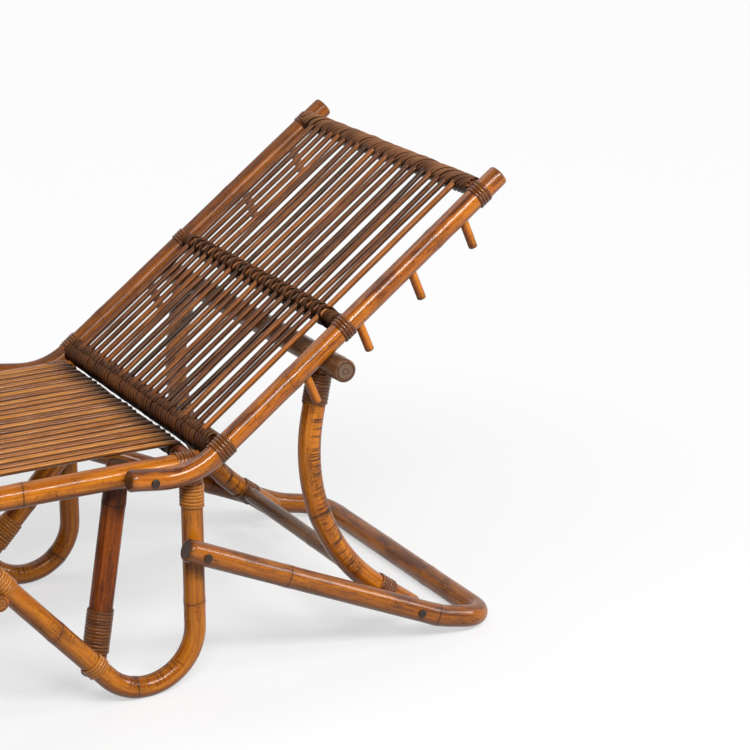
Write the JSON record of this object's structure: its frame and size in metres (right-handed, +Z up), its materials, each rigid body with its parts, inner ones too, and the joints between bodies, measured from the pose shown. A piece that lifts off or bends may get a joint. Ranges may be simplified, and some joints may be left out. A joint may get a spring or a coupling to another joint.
{
  "type": "rattan chaise longue",
  "caption": "Low rattan lounger with a cane seat, bent-pole legs and a pegged reclining back that lies on a swinging prop.",
  "frame": {"origin": "on the floor, at the middle of the overall length and width", "axes": "+X to the head end, +Y to the sitter's right, +Z up"},
  "size_m": [1.495, 0.63, 0.7535],
  "materials": {
    "rattan_pole": "varnished",
    "seat_cane": "varnished",
    "cane_wrap": "varnished",
    "iron_pins": "dull"
  },
  "bodies": {
    "seat_frame": {"back_pivot_pins": "iron_pins", "floor_loop": "rattan_pole", "foot_leg_left": "rattan_pole", "foot_leg_right": "rattan_pole", "foot_leg_stretcher": "rattan_pole", "foot_strut_left": "rattan_pole", "foot_strut_right": "rattan_pole", "leg_lashings": "cane_wrap", "leg_stretcher_lashings": "cane_wrap", "loop_pins": "iron_pins", "prop_pivot_pins": "iron_pins", "rear_leg_left": "rattan_pole", "rear_leg_right": "rattan_pole", "rear_leg_stretcher": "rattan_pole", "rear_strut_left": "rattan_pole", "rear_strut_right": "rattan_pole", "seat_bar_foot": "rattan_pole", "seat_bar_hip": "rattan_pole", "seat_bar_knee": "rattan_pole", "seat_bar_rear": "rattan_pole", "seat_canes": "seat_cane", "seat_rail_left": "rattan_pole", "seat_rail_right": "rattan_pole", "strut_lashings": "cane_wrap"},
    "backrest": {"back_bar_lower": "rattan_pole", "back_bar_middle": "rattan_pole", "back_bar_top": "rattan_pole", "back_canes": "seat_cane", "back_lashings": "cane_wrap", "back_peg_1_left": "rattan_pole", "back_peg_1_right": "rattan_pole", "back_peg_2_left": "rattan_pole", "back_peg_2_right": "rattan_pole", "back_peg_3_left": "rattan_pole", "back_peg_3_right": "rattan_pole", "back_peg_4_left": "rattan_pole", "back_peg_4_right": "rattan_pole", "back_pole_left": "rattan_pole", "back_pole_right": "rattan_pole"},
    "prop": {"prop_bar": "rattan_pole", "prop_low_lashings": "cane_wrap", "prop_post_left": "rattan_pole", "prop_post_right": "rattan_pole", "prop_stretcher": "rattan_pole", "prop_top_lashings": "cane_wrap"}
  },
  "joints": [
    {"name": "back_fold", "type": "hinge", "parent": "seat_frame", "child": "backrest", "pos_m": [0.1525, 0, 0.357], "axis": [0, -1, 0], "range_deg": [0, 135]},
    {"name": "prop_swing", "type": "hinge", "parent": "seat_frame", "child": "prop", "pos_m": [0.59772, 0, 0.05702], "axis": [0, -1, 0], "range_deg": [-112, 0]}
  ],
  "couplings": [
    {"joint": "prop_swing", "follows": "back_fold", "ratio": -0.8293}
  ]
}
